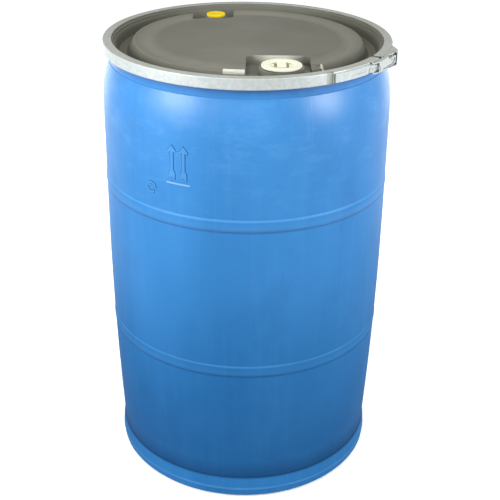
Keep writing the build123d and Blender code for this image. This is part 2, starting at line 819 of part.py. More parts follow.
with BuildPart() as link_bracket:
    with BuildSketch(Plane.XY.offset(hook_foot_z)):
        add(strip(plate_r, plate_out_r, along(hook_from), along(hook_to)))
    extrude(amount=hook_top_z - hook_foot_z)
    for bearing, z in rivet_places["link_bracket"]:
        with BuildSketch(bearing_plane(bearing, ring_r, z)):
            Circle(rivet_r + pin_gap)
        extrude(amount=cut_margin, both=True, mode=Mode.SUBTRACT)
    for floor_z, start_u in ((hook_foot_z, hook_low_start_u), (hook_top_z - hook_cheek_t, hook_high_start_u)):
        with BuildSketch(latch_plane(floor_z)):
            add(hook_cheek(start_u))
        extrude(amount=hook_cheek_t)
    # The nose is a bent skin between the two cheeks.
    with BuildSketch(latch_plane(hook_foot_z + hook_cheek_t / 2)):
        with BuildLine():
            Polyline(
                (hook_corner_n, hook_corner_u),
                (hook_nose_n, hook_nose_u),
                hook_end,
                (hook_end[0], hook_end[1] - 2 * hook_skin),
                (hook_nose_n - hook_skin, hook_nose_u - hook_skin / 2),
                (hook_corner_n - hook_skin, hook_corner_u),
                close=True,
            )
        make_face()
        Circle(hook_root_r, mode=Mode.SUBTRACT)
    extrude(amount=hook_top_z - hook_foot_z - hook_cheek_t)

rivets = {}
for name, places in rivet_places.items():
    with BuildPart() as rivet_group:
        for bearing, z in places:
            with BuildSketch(bearing_plane(bearing, ring_r - ring_t - plate_gap - rivet_head_t, z)):
                Circle(rivet_head_r)
            extrude(amount=rivet_head_t)
            with BuildSketch(bearing_plane(bearing, ring_r - ring_t - plate_gap, z)):
                Circle(rivet_r)
            extrude(amount=ring_t + 3 * plate_gap + bracket_t)
            with BuildSketch(bearing_plane(bearing, plate_out_r + plate_gap, z)):
                Circle(rivet_head_r)
            extrude(amount=rivet_head_t)
    rivets[name] = rivet_group.part

# The lever: a curved channel whose tongue carries the two knuckles.
with BuildPart() as lever:
    with BuildSketch(Plane.XY.offset(lever_foot_z)):
        add(strip(lever_r - lever_t, lever_r, along(lever_from), along(lever_to)))
    extrude(amount=lever_height)
    for floor_z in (lever_foot_z, lever_foot_z + lever_height - lever_t):
        with BuildSketch(Plane.XY.offset(floor_z)):
            add(strip(lever_flange_r, lever_r, along(lever_from), along(lever_to)))
        extrude(amount=lever_t)
    with BuildSketch(Plane.XY.offset(lever_foot_z)):
        add(strip(lever_flange_r, lever_r, along(lever_from), along(lever_from + lever_t)))
    extrude(amount=lever_height)
    # Its right-hand edge is drawn as an S, leaning over the tongue.
    with BuildSketch(bearing_plane(along(lever_to), lever_flange_r - lever_t, ring_mid_z)):
        with BuildLine():
            half = lever_height / 2 + cut_margin / 5
            edge = Spline((-lever_edge_lean, -half), (0, half), tangents=((0.2, 1), (0.2, 1)))
            Polyline(edge @ 1, (cut_margin, half), (cut_margin, -half), edge @ 0)
        make_face()
    extrude(amount=2 * cut_margin, mode=Mode.SUBTRACT)
    # Pressed stiffening groove.
    with BuildSketch(Plane.XY.offset(ring_mid_z - lever_slot_w / 2 - lever_slot_drop)):
        add(strip(lever_r - lever_slot_deep, lever_r + cut_margin, along(lever_slot_from), along(lever_slot_to)))
    extrude(amount=lever_slot_w, mode=Mode.SUBTRACT)
    # The root of the tongue and the link's knuckle.
    root = latch_point(lever_r - lever_t / 2, tongue_root_run)
    with BuildSketch(latch_plane(lever_foot_z + lever_t)):
        with Locations(link_pin_at):
            Circle(knuckle_r)
        with Locations(root):
            Rectangle(lever_t, 2 * lever_t)
        make_hull()
    extrude(amount=lever_height - 2 * lever_t)
    # The tongue between the ears.
    tongue_height = ear_pitch - ear_t - 2 * cheek_gap
    middle = ((link_pin_at[0] + lever_pin_at[0]) / 2, (link_pin_at[1] + lever_pin_at[1]) / 2)
    with BuildSketch(latch_plane(ring_mid_z - tongue_height / 2)):
        with Locations(middle):
            with Locations(Location((0, 0, 0), (0, 0, arm_angle))):
                with Locations((0, -(knuckle_r - tongue_inner) / 2)):
                    Rectangle(arm_length, knuckle_r + tongue_inner)
        with Locations(lever_pin_at):
            Circle(knuckle_r)
    extrude(amount=tongue_height)
    with BuildSketch(latch_plane(lever_foot_z)):
        with Locations(link_pin_at, lever_pin_at):
            Circle(pin_r + pin_gap)
    extrude(amount=lever_height, mode=Mode.SUBTRACT)


def link_cheek(from_u, to_u):
    """Plan of one cheek of the link between two places along the latch."""
    with BuildSketch() as plan:
        with Locations(link_pin_at, hook_pin_at):
            Circle(knuckle_r)
        with Locations((link_web_n + link_web_t / 2, (link_left_u + link_right_u) / 2)):
            Rectangle(link_web_t, link_right_u - link_left_u)
        make_hull()
        Circle(link_inner_r, mode=Mode.SUBTRACT)
        with Locations(link_pin_at, hook_pin_at):
            Circle(knuckle_r)
            Circle(pin_r + pin_gap, mode=Mode.SUBTRACT)
        with Locations((link_web_n, (from_u + to_u) / 2)):
            Rectangle(4 * knuckle_r, to_u - from_u, mode=Mode.INTERSECT)
    return plan.sketch


with BuildPart() as link:
    for from_u, to_u, height in (
        (link_left_u, link_step_u, link_height),
        (link_step_u, link_right_u, link_low_height),
    ):
        with BuildSketch(latch_plane(link_foot_z)):
            with Locations((link_web_n + link_web_t / 2, (from_u + to_u) / 2)):
                Rectangle(link_web_t, to_u - from_u)
        extrude(amount=height)
    far_left_u = link_pin_at[1] - 2 * knuckle_r
    far_right_u = link_right_u + knuckle_r
    for floor_z, from_u, to_u in (
        (link_foot_z, far_left_u, far_right_u),
        (link_top_z - link_cheek_t, far_left_u, link_step_u),
        (link_low_top_z - link_cheek_t, link_step_u - link_web_t, far_right_u),
    ):
        with BuildSketch(latch_plane(floor_z)):
            add(link_cheek(from_u, to_u))
        extrude(amount=link_cheek_t)
    # The joggle between the high and the low part.
    with BuildSketch(latch_plane(link_low_top_z - link_cheek_t)):
        add(link_cheek(link_step_u - link_web_t, link_step_u))
    extrude(amount=link_top_z - link_low_top_z + link_cheek_t)
    for slot_u, slot_w, slot_h in (
        (seal_slot_u, seal_slot_w, seal_slot_h),
        (catch_slot_u, catch_slot_w, catch_slot_h),
    ):
        with BuildSketch(latch_plane(link_foot_z + slot_rise)):
            with Locations((link_web_n, slot_u)):
                Rectangle(2 * cut_margin, slot_w)
        extrude(amount=slot_h, mode=Mode.SUBTRACT)

pins = {}
for name, place, foot_z, top_z, head_t in (
    (
        "lever_pin",
        lever_pin_at,
        ring_mid_z - (ear_pitch + ear_t) / 2,
        ring_mid_z + (ear_pitch + ear_t) / 2,
        0,
    ),
    ("link_pin", link_pin_at, link_foot_z - pin_head_t, link_top_z + pin_head_t, pin_head_t),
    ("hook_pin", hook_pin_at, hook_foot_z, hook_top_z, 0),
):
    with BuildPart() as pin:
        with BuildSketch(latch_plane(foot_z)):
            with Locations(place):
                Circle(pin_r)
        extrude(amount=top_z - foot_z)
        if head_t:
            for floor_z in (foot_z, top_z - head_t):
                with BuildSketch(latch_plane(floor_z)):
                    with Locations(place):
                        Circle(knuckle_r - pin_head_inset)
                extrude(amount=head_t)
    pins[name] = pin.part


# ================================================================ files
export(drum_body.part, "drum_body", "parts/drum_body.step")
export(cover.part, "cover", "parts/cover.step")
export(cover_gasket.part, "cover_gasket", "parts/cover_gasket.step")
export(main_plug.part, "main_plug", "parts/main_plug.step")
export(main_plug_gasket.part, "main_plug_gasket", "parts/main_plug_gasket.step")
export(vent_plug.part, "vent_plug", "parts/vent_plug.step")
export(vent_plug_gasket.part, "vent_plug_gasket", "parts/vent_plug_gasket.step")
export(cap_seal.part, "cap_seal", "parts/cap_seal.step")
export(ring_band.part, "ring_band", "parts/ring_band.step")
export(lever_bracket.part, "lever_bracket", "parts/lever_bracket.step")
export(link_bracket.part, "link_bracket", "parts/link_bracket.step")
export(rivets["lever_bracket"], "lever_bracket_rivets", "parts/lever_bracket_rivets.step")
export(rivets["link_bracket"], "link_bracket_rivets", "parts/link_bracket_rivets.step")
export(lever.part, "lever", "parts/lever.step")
export(link.part, "link", "parts/link.step")
for name, part in pins.items():
    export(part, name, f"parts/{name}.step")
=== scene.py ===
"""Materials, surface detail, light and camera for the plastic open head drum."""

import math

import bmesh
import bpy
from mathutils import Matrix, Vector


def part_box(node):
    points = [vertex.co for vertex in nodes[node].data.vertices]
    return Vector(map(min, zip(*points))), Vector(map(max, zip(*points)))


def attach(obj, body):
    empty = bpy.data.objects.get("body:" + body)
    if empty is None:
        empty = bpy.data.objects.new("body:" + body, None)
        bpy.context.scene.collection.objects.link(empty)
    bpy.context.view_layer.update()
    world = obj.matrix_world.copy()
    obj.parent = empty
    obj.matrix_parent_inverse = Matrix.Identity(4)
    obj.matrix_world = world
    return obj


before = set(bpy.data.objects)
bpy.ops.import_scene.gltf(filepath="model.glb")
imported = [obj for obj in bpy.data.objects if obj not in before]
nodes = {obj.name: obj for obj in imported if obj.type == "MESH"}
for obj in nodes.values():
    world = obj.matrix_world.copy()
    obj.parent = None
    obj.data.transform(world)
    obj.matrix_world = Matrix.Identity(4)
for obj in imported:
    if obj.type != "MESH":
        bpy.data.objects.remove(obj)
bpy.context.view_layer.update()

# ------------------------------------------------------------------ places on the drum
# Metres and degrees. A bearing is an angle round the drum's axis, and -90 faces the camera.
MM = 0.001

# The body's side, from its foot up.
FOOT_EDGE_Z = 0.024  # the foot's widest line
WAIST_Z = 0.051  # the crease above the foot
SIDE_FOOT_Z = 0.059  # where the side starts, and how far in it stands there
SIDE_FOOT_INSET = 0.013
HOOPS_Z = (0.326, 0.648)
HOOP_HALF = 0.013
BELLY_R = 0.291  # the side's widest line
BELLY_Z = 0.540
MARKS_FOOT_Z = 0.68  # the moulded marks lie above this
SHOULDER_R = 0.2895  # where the side runs into the shoulder
SHOULDER_Z = 0.815
NECK_Z = 0.905
PARTING_BEARINGS = (-66.0, 114.0)
PARTING_HALF = 0.004  # radians

# How its painted shade, pale patches and gloss lie by height: the height where each is strongest, and how far
# it reaches.
LOWER_SHADE_REACH = 0.50  # from the waist
WAIST_SHADE_REACH = 0.040
PALE_PATCHES_Z = 0.82
PALE_PATCHES_REACH = 0.24
SHINE_Z = 0.92
SHINE_REACH = 0.62

# The moulded marks, and how far out from the side their paler tops and their painted shade lie.
MARK_RISE = 0.8 * MM
MARK_TOP = 0.68 * MM
MARK_FLANK = 0.38 * MM
MARK_FLANK_HALF = 0.34 * MM
BAR_RISE = 1.4 * MM
BAR_TOP = 1.3 * MM

# The cover.
VALLEY_R = 0.205
RIDGE_R = 0.228
RIDGE_END_BEARING = -53.2
RIDGE_END_HALF = 0.75  # degrees
CHANNEL_R = 0.247
POCKET_BACK_Y = -0.123
POCKET_MIDDLE_X = 0.057
POCKET_HALF = 0.055

# The closing ring. Its thumb scoop beside the lever's free end is shown on the band's flat face.
RING_TOP_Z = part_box("ring_band")[1].z
RING_R = 0.286
SCOOP_BEARING = -59.0
SCOOP_HALF = 1.55  # degrees
SCOOP_DEPTH = 4.5 * MM  # how far in from the band's face it is drawn

# ------------------------------------------------------------------ camera as measured
CAMERA_AT = (0.0, -1.99894, 1.46640)
CAMERA_PITCH = 26.867  # degrees below the horizon
CAMERA_YAW = 0.2899
CAMERA_ROLL = 0.7506
FOCAL_PIXELS = 1021.78
FRAME_PIXELS = 500
SENSOR = 36.0  # millimetres


# ================================================================== node helpers
def srgb(red, green, blue):
    """A colour given as 0 to 255 screen values, as a linear colour with alpha."""

    def one(value):
        value /= 255
        return value / 12.92 if value <= 0.04045 else ((value + 0.055) / 1.055) ** 2.4

    return one(red), one(green), one(blue), 1.0


class Shader:
    """A material, with short ways of adding nodes to it. A value is a number or a node's socket."""

    def __init__(self, name, roughness, metallic=0.0, specular=0.5):
        self.material = bpy.data.materials.new(name)
        self.material.use_nodes = True
        self.tree = self.material.node_tree
        self.bsdf = self.tree.nodes["Principled BSDF"]
        self.bsdf.inputs["Roughness"].default_value = roughness
        self.bsdf.inputs["Metallic"].default_value = metallic
        self.bsdf.inputs["Specular IOR Level"].default_value = specular
        self.place = self.add("ShaderNodeTexCoord").outputs["Object"]
        parts = self.add("ShaderNodeSeparateXYZ", Vector=self.place).outputs
        self.x, self.y, self.height = parts["X"], parts["Y"], parts["Z"]

    def set(self, socket, value):
        if isinstance(value, bpy.types.NodeSocket):
            self.tree.links.new(value, socket)
        else:
            socket.default_value = value

    def drive(self, name, value):
        """Links one of the surface's own inputs to a value."""
        self.set(self.bsdf.inputs[name], value)

    def add(self, kind, **inputs):
        node = self.tree.nodes.new(kind)
        for key, value in inputs.items():
            self.set(node.inputs[key.replace("_", " ")], value)
        return node

    def math(self, operation, first, second=0.0):
        node = self.tree.nodes.new("ShaderNodeMath")
        node.operation = operation
        self.set(node.inputs[0], first)
        self.set(node.inputs[1], second)
        return node.outputs[0]

    def plus(self, first, second):
        return self.math("ADD", first, second)

    def minus(self, first, second):
        return self.math("SUBTRACT", first, second)

    def times(self, first, second):
        return self.math("MULTIPLY", first, second)

    def over(self, first, second):
        return self.math("DIVIDE", first, second)

    def least(self, first, second):
        return self.math("MINIMUM", first, second)

    def most(self, first, second):
        return self.math("MAXIMUM", first, second)

    def above(self, value, limit):
        """1 where the value is over the limit, and 0 elsewhere."""
        return self.math("GREATER_THAN", value, limit)

    def below(self, value, limit):
        """1 where the value is under the limit, and 0 elsewhere."""
        return self.math("LESS_THAN", value, limit)

    def near(self, value, centre, width):
        """1 at centre and 0 from width away."""
        gap = self.math("ABSOLUTE", self.minus(value, centre))
        return self.most(self.minus(1.0, self.over(gap, width)), 0.0)

    def noise(self, scale, detail=4.0, stretch=(1, 1, 1), roughness=0.5):
        mapping = self.add("ShaderNodeMapping", Vector=self.place, Scale=stretch)
        node = self.add(
            "ShaderNodeTexNoise",
            Vector=mapping.outputs[0],
            Scale=scale,
            Detail=detail,
            Roughness=roughness,
        )
        return node.outputs["Fac"]

    def patches(self, limit, scale, detail, stretch, roughness):
        """How far noise rises over a limit, and 0 where it doesn't."""
        return self.most(self.minus(self.noise(scale, detail, stretch, roughness), limit), 0.0)

    def uneven(self, mask, base, scale, detail=5.0):
        """The mask times noise that is added to a base."""
        return self.times(mask, self.plus(base, self.noise(scale, detail)))

    def ramp(self, value, low, high, colour_low, colour_high):
        node = self.add("ShaderNodeValToRGB", Fac=value)
        ends = node.color_ramp.elements
        ends[0].position, ends[1].position = low, high
        ends[0].color, ends[1].color = colour_low, colour_high
        return node.outputs["Color"]

    def mix(self, factor, first, second):
        node = self.tree.nodes.new("ShaderNodeMix")
        node.data_type = "RGBA"
        self.set(node.inputs["Factor"], factor)
        self.set(node.inputs["A"], first)
        self.set(node.inputs["B"], second)
        return node.outputs["Result"]

    def tinted(self, colour, mask, strength, tint):
        """The colour with a tint laid over it where the mask says, at a strength."""
        return self.mix(self.times(mask, strength), colour, tint)

    def bearing(self):
        """Bearing round the drum's axis, in radians."""
        return self.math("ARCTAN2", self.y, self.x)

    def axis_distance(self):
        """Distance from the drum's axis."""
        return self.math("SQRT", self.plus(self.times(self.x, self.x), self.times(self.y, self.y)))

    def proud_of_side(self):
        """How far a point stands out from the drum's side, above its widest line."""
        flattening = (BELLY_R - SHOULDER_R) / (SHOULDER_Z - BELLY_Z) ** 2
        radius = self.axis_distance()
        rise = self.minus(self.height, BELLY_Z)
        drop = self.times(self.times(rise, rise), flattening)
        return self.minus(radius, self.minus(BELLY_R, drop))

    def seen(self):
        """1 for rays that show a surface, straight or by a reflection, and 0 for those that only light."""
        path = self.add("ShaderNodeLightPath").outputs
        shown = self.most(path["Is Camera Ray"], path["Is Glossy Ray"])
        return self.most(shown, path["Is Transmission Ray"])

    def bump(self, value, strength, distance):
        """Adds relief to the surface, over the relief that it has."""
        node = self.add("ShaderNodeBump", Height=value)
        node.inputs["Strength"].default_value = strength
        node.inputs["Distance"].default_value = distance
        normal = self.bsdf.inputs["Normal"]
        if normal.is_linked:
            self.set(node.inputs["Normal"], normal.links[0].from_socket)
        self.set(normal, node.outputs["Normal"])


# ================================================================== the body's blue plastic
def flow_and_handling(shader, colour):
    """Pale flow streaks, patches of fine scratches, pale patches that are thickest round the shoulder and
    dull patches all over.
    """
    streak = shader.noise(60.0, 5.0, (1, 1, 0.05), 0.6)
    faint = shader.times(shader.minus(streak, 0.5), 0.22)
    colour = shader.mix(shader.most(faint, 0.0), colour, srgb(112, 178, 232))
    scratch = shader.above(shader.noise(42.0, 8.0, (1.0, 1.0, 6.0), 0.75), 0.66)
    patch = shader.above(shader.noise(3.2, 3.0), 0.56)
    colour = shader.mix(shader.times(scratch, shader.times(patch, 0.20)), colour, srgb(160, 203, 240))
    # Pale patches, thickest round the shoulder and fading above and below it.
    pale_patch = shader.patches(0.5, 15.0, 7.0, (1, 1, 2.2), 0.68)
    pale_patch = shader.times(shader.near(shader.height, PALE_PATCHES_Z, PALE_PATCHES_REACH), pale_patch)
    colour = shader.tinted(colour, pale_patch, 0.65, srgb(134, 190, 236))
    dull = shader.patches(0.52, 11.0, 7.0, (1, 1, 0.6), 0.68)
    return shader.tinted(colour, dull, 1.1, srgb(22, 84, 142))


def foot_light_and_shade(shader, colour):
    """Painted shade that darkens the side towards the bottom and deepens in the waist crease, painted light
    that makes the foot paler, and a painted highlight along the foot's widest line.
    """
    height = shader.height
    over_waist = shader.above(height, WAIST_Z)
    # Painted shade: the side darkens towards the bottom.
    lower_shade = shader.uneven(shader.near(height, WAIST_Z, LOWER_SHADE_REACH), 0.7, 7.0)
    colour = shader.tinted(colour, shader.times(lower_shade, over_waist), 0.42, srgb(16, 66, 118))
    # Painted shade in the waist crease, darkest along the crease itself.
    waist = shader.times(shader.near(height, WAIST_Z, WAIST_SHADE_REACH), over_waist)
    colour = shader.tinted(colour, waist, 0.45, srgb(12, 42, 78))
    colour = shader.tinted(colour, shader.near(height, WAIST_Z, 4.5 * MM), 0.6, srgb(10, 36, 70))
    # Painted light: the foot below the waist is paler.
    foot = shader.uneven(shader.minus(1.0, over_waist), 0.45, 16.0)
    colour = shader.tinted(colour, foot, 0.10, srgb(78, 150, 214))
    # Painted highlight along the foot's widest line.
    edge = shader.times(shader.near(height, FOOT_EDGE_Z, 3.5 * MM), shader.noise(24.0, 5.0))
    return shader.tinted(colour, edge, 0.7, srgb(110, 174, 228))


def marks_paled_and_shaded(shader, colour):
    """Moulded marks whose tops are paler, the bar's most of all, with painted shade along their flanks."""
    proud = shader.proud_of_side()
    marked = shader.above(shader.height, MARKS_FOOT_Z)
    top = shader.times(shader.above(proud, MARK_TOP), marked)
    bar = shader.times(shader.above(proud, BAR_TOP), marked)
    flank_shade = shader.times(shader.near(proud, MARK_FLANK, MARK_FLANK_HALF), marked)
    colour = shader.tinted(colour, top, 0.08, srgb(136, 198, 244))
    colour = shader.tinted(colour, bar, 0.35, srgb(176, 216, 248))
    # Painted shade along the marks' flanks.
    return shader.tinted(colour, flank_shade, 0.3, srgb(8, 50, 104))


def neck_shade(shader, colour):
    """Painted shadow in the neck under the closing ring."""
    return shader.tinted(colour, shader.near(shader.height, NECK_Z, 16.5 * MM), 0.6, srgb(12, 58, 118))


def hoop_highlights_and_shade(shader, colour):
    """Hoops with painted highlights on their crowns and upper edges, and painted shade along their lower
    edges.
    """
    height = shader.height
    for hoop_z in HOOPS_Z:
        # Painted highlight along each hoop's upper edge and crown.
        edge = shader.near(height, hoop_z + HOOP_HALF - 2 * MM, 3.5 * MM)
        crown_highlight = shader.times(shader.near(height, hoop_z - 0.3 * HOOP_HALF, 0.8 * HOOP_HALF), 0.35)
        rubbed = shader.uneven(shader.most(edge, crown_highlight), 0.15, 12.0)
        colour = shader.tinted(colour, rubbed, 0.30, srgb(110, 182, 238))
        # Painted shade along each hoop's lower edge.
        under = shader.near(height, hoop_z - HOOP_HALF, 3.2 * MM)
        colour = shader.tinted(colour, under, 0.55, srgb(18, 70, 125))
    return colour


def side_gloss(shader):
    """A shoulder that keeps its gloss, over a lower part that dust has dulled."""
    shine = shader.near(shader.height, SHINE_Z, SHINE_REACH)
    roughness = shader.plus(0.33, shader.times(shader.noise(9.0, 4.0), 0.14))
    roughness = shader.plus(roughness, shader.times(shader.minus(1.0, shine), 0.30))
    shader.drive("Roughness", roughness)
    shader.drive("Specular IOR Level", shader.plus(shader.times(shine, 0.42), 0.08))


def side_relief(shader):
    """Waves and grain of the moulding, the mould's parting lines, and hoops with crisp edges."""
    shader.bump(shader.noise(26.0, 2.0), 0.25, 1.2 * MM)
    shader.bump(shader.noise(700.0, 3.0), 0.10, 0.2 * MM)
    bearing = shader.bearing()
    lines = [shader.near(bearing, math.radians(line), PARTING_HALF) for line in PARTING_BEARINGS]
    shader.bump(shader.most(*lines), 0.5, 0.3 * MM)
    for hoop_z in HOOPS_Z:
        gap = shader.math("ABSOLUTE", shader.minus(shader.height, hoop_z))
        step = shader.over(shader.minus(HOOP_HALF, gap), 5 * MM)
        shader.bump(shader.least(shader.most(step, 0.0), 1.0), 1.0, 1.2 * MM)


def blue_plastic():
    """Blow-moulded polyethylene of uneven colour, with its wear, painted highlights and painted shade laid
    over it layer by layer.
    """
    shader = Shader("blue_plastic", 0.42, specular=0.6)
    cloud = shader.noise(5.0, 3.0, (1, 1, 0.35))
    colour = shader.ramp(cloud, 0.3, 0.7, srgb(36, 112, 176), srgb(53, 130, 196))
    for layer in (flow_and_handling, foot_light_and_shade, marks_paled_and_shaded, neck_shade, hoop_highlights_and_shade):
        colour = layer(shader, colour)
    shader.drive("Base Color", colour)
    side_gloss(shader)
    side_relief(shader)
    return shader.material


# ================================================================== the other materials
def edge_highlights(shader, radius):
    """Painted highlights on the cover: the ridge's end, and the edge behind the main pocket."""
    end = shader.near(shader.bearing(), math.radians(RIDGE_END_BEARING), math.radians(RIDGE_END_HALF))
    end = shader.times(end, shader.above(shader.near(radius, RIDGE_R, 6 * MM), 0.0))
    behind = shader.near(shader.y, POCKET_BACK_Y, 2.2 * MM)
    edge = shader.times(behind, shader.near(shader.x, POCKET_MIDDLE_X, POCKET_HALF))
    return shader.least(shader.most(shader.times(end, 1.4), shader.times(edge, 1.2)), 0.9)


def grey_plastic():
    """Injection-moulded cover: fine grain, specks of dust, painted shade towards its sides, painted light in
    the valley, a darker and browner channel and painted highlights on edges.
    """
    shader = Shader("grey_plastic", 0.6, specular=0.1)
    colour = shader.ramp(shader.noise(7.0, 5.0), 0.3, 0.7, srgb(105, 105, 96), srgb(116, 116, 107))
    specks = shader.above(shader.noise(30.0, 8.0, roughness=0.7), 0.62)
    colour = shader.tinted(colour, specks, 0.18, srgb(128, 127, 121))
    # Painted shade: the cover darkens towards its left and right sides.
    sideways_shade = shader.math("ABSOLUTE", shader.x)
    colour = shader.mix(shader.least(shader.times(sideways_shade, 2.2), 0.5), colour, srgb(88, 89, 78))
    # A paler ring of painted light lies in the valley between the plateau and the ridge, and the outer
    # channel is darker and browner.
    radius = shader.axis_distance()
    valley_light = shader.uneven(shader.near(radius, VALLEY_R, 24 * MM), 0.5, 9.0)
    colour = shader.tinted(colour, valley_light, 0.30, srgb(158, 156, 142))
    # Darker and browner in the outer channel.
    channel_tone = shader.uneven(shader.near(radius, CHANNEL_R, 12 * MM), 0.3, 24.0, 6.0)
    colour = shader.tinted(colour, channel_tone, 0.45, srgb(70, 62, 44))
    # Painted highlights on the ridge's end and on the edge behind the main pocket.
    colour = shader.mix(edge_highlights(shader, radius), colour, srgb(206, 204, 190))
    shader.drive("Base Color", colour)
    shader.drive("Roughness", shader.plus(0.52, shader.times(shader.noise(18.0), 0.18)))
    shader.bump(shader.noise(420.0, 3.0), 0.12, 0.3 * MM)
    shader.bump(shader.noise(12.0, 2.0), 0.2, 0.8 * MM)
    return shader.material


def black_rubber():
    """Dull gasket rubber with a fine grain."""
    shader = Shader("black_rubber", 0.75, specular=0.3)
    colour = shader.ramp(shader.noise(90.0, 4.0), 0.35, 0.65, srgb(26, 26, 27), srgb(44, 44, 45))
    shader.drive("Base Color", colour)
    shader.bump(shader.noise(600.0), 0.2, 0.3 * MM)
    return shader.material


def galvanised_steel():
    """Zinc-coated strip: small spangle, dulled patches and faint drawing lines round the band."""
    shader = Shader("galvanised_steel", 0.5, metallic=0.3, specular=0.4)
    spangle = shader.add("ShaderNodeTexVoronoi", Vector=shader.place, Scale=170.0).outputs["Color"]
    colour = shader.ramp(spangle, 0.0, 1.0, srgb(166, 173, 172), srgb(184, 191, 190))
    colour = shader.tinted(colour, shader.noise(14.0, 5.0), 0.4, srgb(156, 163, 162))
    # The flange on top is painted darker and olive, unevenly: painted shade with a painted reflection.
    flange_shade_and_reflection = shader.uneven(shader.above(shader.height, RING_TOP_Z - 0.8 * MM), 0.3, 9.0)
    colour = shader.tinted(colour, flange_shade_and_reflection, 0.62, srgb(126, 126, 106))
    # The thumb scoop shows by painted shade, thickest towards the lever, and by relief.
    radius = shader.axis_distance()
    across = shader.minus(shader.bearing(), math.radians(SCOOP_BEARING))
    across = shader.over(across, math.radians(SCOOP_HALF))
    hollow = shader.most(shader.minus(1.0, shader.times(across, across)), 0.0)
    hollow = shader.times(hollow, shader.below(radius, RING_R + 0.3 * MM))
    hollow = shader.times(hollow, shader.above(radius, RING_R - SCOOP_DEPTH))
    scoop_shade = shader.least(shader.times(hollow, 3.0), 1.0)
    scoop_shade = shader.times(scoop_shade, shader.plus(0.55, shader.times(across, 0.35)))
    shader.drive("Base Color", shader.mix(scoop_shade, colour, srgb(84, 82, 68)))
    shader.drive("Roughness", shader.plus(0.42, shader.times(shader.noise(40.0, 5.0), 0.2)))
    shader.bump(shader.noise(150.0, 4.0, (0.2, 0.2, 6.0)), 0.12, 0.2 * MM)
    shader.bump(shader.minus(1.0, hollow), 0.8, 1.8 * MM)
    return shader.material


def shade_material(name, low, high):
    """Dark material for painted shade in a seam or round a moulded edge."""
    shader = Shader(name, 0.8, specular=0.2)
    shader.drive("Base Color", shader.ramp(shader.noise(240.0, 5.0), 0.3, 0.7, low, high))
    shader.bump(shader.noise(700.0, 3.0), 0.2, 0.2 * MM)
    return shader.material


def moulded_plastic(name, low, high, roughness):
    """Small moulded parts: slight colour drift, fine grain, and light that goes a little way in."""
    shader = Shader(name, roughness, specular=0.08)
    shader.drive("Base Color", shader.ramp(shader.noise(60.0, 4.0), 0.3, 0.7, low, high))
    shader.bsdf.inputs["Subsurface Weight"].default_value = 0.6
    shader.bsdf.inputs["Subsurface Radius"].default_value = (1.0, 0.9, 0.7)
    shader.bsdf.inputs["Subsurface Scale"].default_value = 9 * MM
    shader.bump(shader.noise(900.0, 2.0), 0.1, 0.2 * MM)
    return shader


PHASE_SHIFT = 64.0  # whole turns that keep a thread's phase above zero


def threaded(shader, centre, pitch, foot_z, top_z, depth):
    """Adds a screw thread's relief to the round body of a plug, between two heights."""
    x = shader.minus(shader.x, centre[0])
    y = shader.minus(shader.y, centre[1])
    turn = shader.over(shader.math("ARCTAN2", y, x), 2 * math.pi)
    rise = shader.over(shader.height, pitch)
    phase = shader.math("FRACT", shader.plus(shader.minus(rise, turn), PHASE_SHIFT))
    ridge = shader.near(phase, 0.5, 0.5)
    inside = shader.times(shader.above(shader.height, foot_z), shader.below(shader.height, top_z))
    shader.bump(shader.times(ridge, inside), 1.0, depth)


MAIN_PITCH = 2.209 * MM  # 11.5 threads to the inch
VENT_PITCH = 1.814 * MM  # 14 threads to the inch


def plug_materials():
    """Cream, white and yellow plastic of the large plug, the small plug and its seal cap."""
    low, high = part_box("main_plug")
    cream = moulded_plastic("cream_plastic", srgb(228, 228, 202), srgb(238, 238, 214), 0.4)
    centre = (low + high) / 2
    threaded(cream, centre, MAIN_PITCH, low.z + 1.5 * MM, high.z - 4.5 * MM, 1.2 * MM)
    low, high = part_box("vent_plug")
    white = moulded_plastic("white_plastic", srgb(190, 191, 188), srgb(202, 203, 200), 0.42)
    centre = (low + high) / 2
    threaded(white, centre, VENT_PITCH, low.z + 1.2 * MM, high.z - 5.6 * MM, 1.0 * MM)
    yellow = moulded_plastic("yellow_plastic", srgb(250, 202, 0), srgb(254, 210, 2), 0.5)
    return cream.material, white.material, yellow.material


def dress(material, *names):
    """Gives CAD nodes their material."""
    for name in names:
        nodes[name].data.materials.clear()
        nodes[name].data.materials.append(material)


blue = blue_plastic()
seam_shade = shade_material("seam_shade", srgb(38, 40, 38), srgb(74, 74, 66))
mark_shade = shade_material("mark_shade", srgb(14, 64, 120), srgb(30, 90, 150))
steel = galvanised_steel()
cream, white, yellow = plug_materials()
dress(blue, "drum_body")
dress(grey_plastic(), "cover")
dress(black_rubber(), "cover_gasket", "main_plug_gasket", "vent_plug_gasket")
dress(steel, "ring_band", "lever_bracket", "lever_bracket_rivets", "link_bracket", "link_bracket_rivets")
dress(steel, "lever", "lever_pin", "link", "link_pin", "hook_pin")
dress(cream, "main_plug")
dress(white, "vent_plug")
dress(yellow, "cap_seal")

# Curved faces are shaded smooth, and sharper creases stay crisp.
CREASE_ANGLE = 32  # degrees
for part in nodes.values():
    part.data.shade_smooth()
    part.data.set_sharp_from_angle(angle=math.radians(CREASE_ANGLE))


# ================================================================== pieces of mesh
def add_piece(name, mesh, material, body):
    """Turns a bmesh into a piece that rides on a body."""
    data = bpy.data.meshes.new(name)
    mesh.to_mesh(data)
    mesh.free()
    data.materials.append(material)
    piece = bpy.data.objects.new(name, data)
    bpy.context.scene.collection.objects.link(piece)
    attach(piece, body)


def join_rows(mesh, pairs):
    """Makes the faces between pairs of rows of vertices, each row a closed section."""
    for first, second in pairs:
        for i in range(len(first)):
            j = (i + 1) % len(first)
            mesh.faces.new((first[i], first[j], second[j], second[i]))


def cap_ends(mesh, rows):
    """Closes the first and the last row of a run of sections."""
    mesh.faces.new(rows[0])
    mesh.faces.new(rows[-1][::-1])


